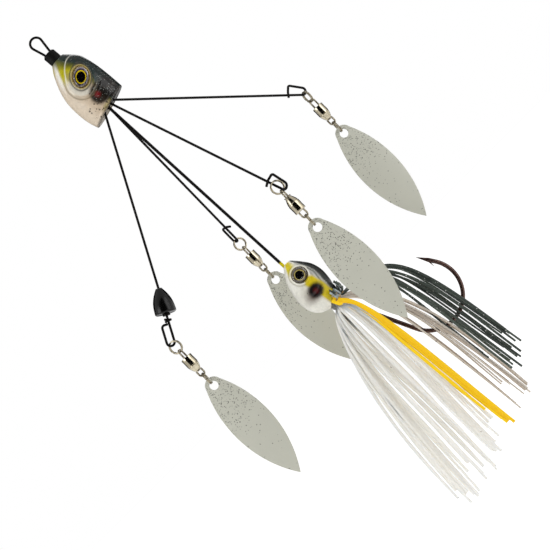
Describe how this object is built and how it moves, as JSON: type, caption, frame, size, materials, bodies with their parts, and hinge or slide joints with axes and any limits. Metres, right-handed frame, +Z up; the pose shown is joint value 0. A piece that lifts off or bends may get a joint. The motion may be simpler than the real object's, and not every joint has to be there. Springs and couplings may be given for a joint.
{
  "type": "umbrella spinnerbait",
  "caption": "Wire-armed spinnerbait: fish head on a line-tie loop, spread arms ending in swivels and willow blades, and a skirted jig hook on the centre wire.",
  "frame": {"origin": "centre of the round end of the line-tie loop", "axes": "+Z up along the line it hangs from, +X towards its back (the hook-point side), -Y the flank seen first"},
  "size_m": [0.1007, 0.0761, 0.2028],
  "materials": {
    "wire_black": "satin",
    "sleeve_black": "satin",
    "lure_paint": "gloss",
    "jig_paint": "gloss",
    "eye_print": "satin",
    "eye_lens": "gloss",
    "bead_black": "gloss",
    "nickel": "polished",
    "ball_steel": "polished",
    "blade_pearl": "pearl satin",
    "hook_bronze": "gloss",
    "collar_black": "satin",
    "silicone_white": "translucent satin",
    "silicone_yellow": "satin",
    "silicone_smoke": "translucent with glitter",
    "silicone_dark": "satin with glitter"
  },
  "bodies": {
    "lure": {"line_tie_loop": "wire_black", "nose_sleeve": "sleeve_black", "front_head": "lure_paint", "front_eye_left": "eye_print", "front_eye_right": "eye_print", "front_eye_lens_left": "eye_lens", "front_eye_lens_right": "eye_lens", "centre_wire": "wire_black", "arm_wire_right": "wire_black", "arm_wire_front": "wire_black", "arm_wire_back": "wire_black", "arm_wire_left": "wire_black", "link_wrap": "wire_black", "bead_washer": "wire_black", "jig_head": "jig_paint", "jig_eye_left": "eye_print", "jig_eye_right": "eye_print", "jig_eye_lens_left": "eye_lens", "jig_eye_lens_right": "eye_lens", "hook": "hook_bronze", "skirt_collar": "collar_black", "skirt_white": "silicone_white", "skirt_yellow": "silicone_yellow", "skirt_smoke": "silicone_smoke", "skirt_dark": "silicone_dark"},
    "bead": {"bullet_bead": "bead_black"},
    "upper_ring_right": {"upper_ring_right": "nickel"},
    "top_eye_right": {"swivel_top_eye_right": "nickel"},
    "barrel_right": {"swivel_barrel_right": "nickel", "swivel_balls_right": "ball_steel"},
    "bottom_eye_right": {"swivel_bottom_eye_right": "nickel"},
    "lower_ring_right": {"lower_ring_right": "nickel"},
    "blade_right": {"blade_right": "blade_pearl"},
    "upper_ring_front": {"upper_ring_front": "nickel"},
    "top_eye_front": {"swivel_top_eye_front": "nickel"},
    "barrel_front": {"swivel_barrel_front": "nickel", "swivel_balls_front": "ball_steel"},
    "bottom_eye_front": {"swivel_bottom_eye_front": "nickel"},
    "lower_ring_front": {"lower_ring_front": "nickel"},
    "blade_front": {"blade_front": "blade_pearl"},
    "upper_ring_back": {"upper_ring_back": "nickel"},
    "top_eye_back": {"swivel_top_eye_back": "nickel"},
    "barrel_back": {"swivel_barrel_back": "nickel", "swivel_balls_back": "ball_steel"},
    "bottom_eye_back": {"swivel_bottom_eye_back": "nickel"},
    "lower_ring_back": {"lower_ring_back": "nickel"},
    "blade_back": {"blade_back": "blade_pearl"},
    "upper_ring_left": {"upper_ring_left": "nickel"},
    "top_eye_left": {"swivel_top_eye_left": "nickel"},
    "barrel_left": {"swivel_barrel_left": "nickel", "swivel_balls_left": "ball_steel"},
    "bottom_eye_left": {"swivel_bottom_eye_left": "nickel"},
    "lower_ring_left": {"lower_ring_left": "nickel"},
    "blade_left": {"blade_left": "blade_pearl"}
  },
  "joints": [
    {"name": "upper_ring_swing_right", "type": "hinge", "parent": "lure", "child": "upper_ring_right", "pos_m": [0.05087, 0.02005, -0.07058], "axis": [0.9247, 0.3808, 0], "range_deg": [-25, 50]},
    {"name": "swivel_swing_right", "type": "hinge", "parent": "upper_ring_right", "child": "top_eye_right", "pos_m": [0.05087, 0.02005, -0.07401], "axis": [0.3808, -0.9247, 0], "range_deg": [-35, 35]},
    {"name": "barrel_spin_right", "type": "hinge", "parent": "top_eye_right", "child": "barrel_right", "pos_m": [0.05087, 0.02005, -0.07635], "axis": [0, 0, 1], "continuous": true},
    {"name": "bottom_eye_spin_right", "type": "hinge", "parent": "barrel_right", "child": "bottom_eye_right", "pos_m": [0.05087, 0.02005, -0.08195], "axis": [0, 0, 1], "continuous": true},
    {"name": "lower_ring_swing_right", "type": "hinge", "parent": "bottom_eye_right", "child": "lower_ring_right", "pos_m": [0.05087, 0.02005, -0.08435], "axis": [0.9986, 0.0523, 0], "range_deg": [-35, 35]},
    {"name": "blade_swing_right", "type": "hinge", "parent": "lower_ring_right", "child": "blade_right", "pos_m": [0.05087, 0.02005, -0.08788], "axis": [0.0523, -0.9986, 0], "range_deg": [-30, 30]},
    {"name": "upper_ring_swing_front", "type": "hinge", "parent": "lure", "child": "upper_ring_front", "pos_m": [0.02088, -0.03695, -0.08725], "axis": [-0.3584, 0.9336, 0], "range_deg": [-30, 30]},
    {"name": "swivel_swing_front", "type": "hinge", "parent": "upper_ring_front", "child": "top_eye_front", "pos_m": [0.02088, -0.03695, -0.08987], "axis": [-0.9336, -0.3584, 0], "range_deg": [-18, 6]},
    {"name": "barrel_spin_front", "type": "hinge", "parent": "top_eye_front", "child": "barrel_front", "pos_m": [0.02088, -0.03695, -0.09221], "axis": [0, 0, 1], "continuous": true},
    {"name": "bottom_eye_spin_front", "type": "hinge", "parent": "barrel_front", "child": "bottom_eye_front", "pos_m": [0.02088, -0.03695, -0.09781], "axis": [0, 0, 1], "continuous": true},
    {"name": "lower_ring_swing_front", "type": "hinge", "parent": "bottom_eye_front", "child": "lower_ring_front", "pos_m": [0.02088, -0.03695, -0.10021], "axis": [-0.9976, 0.0698, 0], "range_deg": [-35, 35]},
    {"name": "blade_swing_front", "type": "hinge", "parent": "lower_ring_front", "child": "blade_front", "pos_m": [0.02088, -0.03695, -0.10374], "axis": [-0.0698, -0.9976, 0], "range_deg": [-30, 30]},
    {"name": "upper_ring_swing_back", "type": "hinge", "parent": "lure", "child": "upper_ring_back", "pos_m": [0.00071, 0.0339, -0.08883], "axis": [0.4396, -0.8982, 0], "range_deg": [-20, 50]},
    {"name": "swivel_swing_back", "type": "hinge", "parent": "upper_ring_back", "child": "top_eye_back", "pos_m": [0.00071, 0.0339, -0.09226], "axis": [0.8982, 0.4396, 0], "range_deg": [-30, 30]},
    {"name": "barrel_spin_back", "type": "hinge", "parent": "top_eye_back", "child": "barrel_back", "pos_m": [0.00071, 0.0339, -0.0946], "axis": [0, 0, 1], "continuous": true},
    {"name": "bottom_eye_spin_back", "type": "hinge", "parent": "barrel_back", "child": "bottom_eye_back", "pos_m": [0.00071, 0.0339, -0.1002], "axis": [0, 0, 1], "continuous": true},
    {"name": "lower_ring_swing_back", "type": "hinge", "parent": "bottom_eye_back", "child": "lower_ring_back", "pos_m": [0.00071, 0.0339, -0.1026], "axis": [0.9962, 0.0872, 0], "range_deg": [-30, 30]},
    {"name": "blade_swing_back", "type": "hinge", "parent": "lower_ring_back", "child": "blade_back", "pos_m": [0.00071, 0.0339, -0.10613], "axis": [-0.0872, 0.9962, 0], "range_deg": [-30, 30]},
    {"name": "upper_ring_swing_left", "type": "hinge", "parent": "lure", "child": "upper_ring_left", "pos_m": [-0.03643, -0.01131, -0.09888], "axis": [0.4796, 0.8775, 0], "range_deg": [-25, 50]},
    {"name": "swivel_swing_left", "type": "hinge", "parent": "upper_ring_left", "child": "top_eye_left", "pos_m": [-0.03643, -0.01131, -0.10198], "axis": [-0.8775, 0.4796, 0], "range_deg": [-25, 50]},
    {"name": "barrel_spin_left", "type": "hinge", "parent": "top_eye_left", "child": "barrel_left", "pos_m": [-0.03643, -0.01131, -0.10432], "axis": [0, 0, 1], "continuous": true},
    {"name": "bottom_eye_spin_left", "type": "hinge", "parent": "barrel_left", "child": "bottom_eye_left", "pos_m": [-0.03643, -0.01131, -0.10992], "axis": [0, 0, 1], "continuous": true},
    {"name": "lower_ring_swing_left", "type": "hinge", "parent": "bottom_eye_left", "child": "lower_ring_left", "pos_m": [-0.03643, -0.01131, -0.11232], "axis": [-0.9986, 0.0523, 0], "range_deg": [-35, 35]},
    {"name": "blade_swing_left", "type": "hinge", "parent": "lower_ring_left", "child": "blade_left", "pos_m": [-0.03643, -0.01131, -0.11585], "axis": [0.0523, 0.9986, 0], "range_deg": [-30, 30]},
    {"name": "bead_slide", "type": "slide", "parent": "lure", "child": "bead", "axis": [0.4588, 0.1345, 0.8783], "range_m": [0, 0.035]}
  ]
}
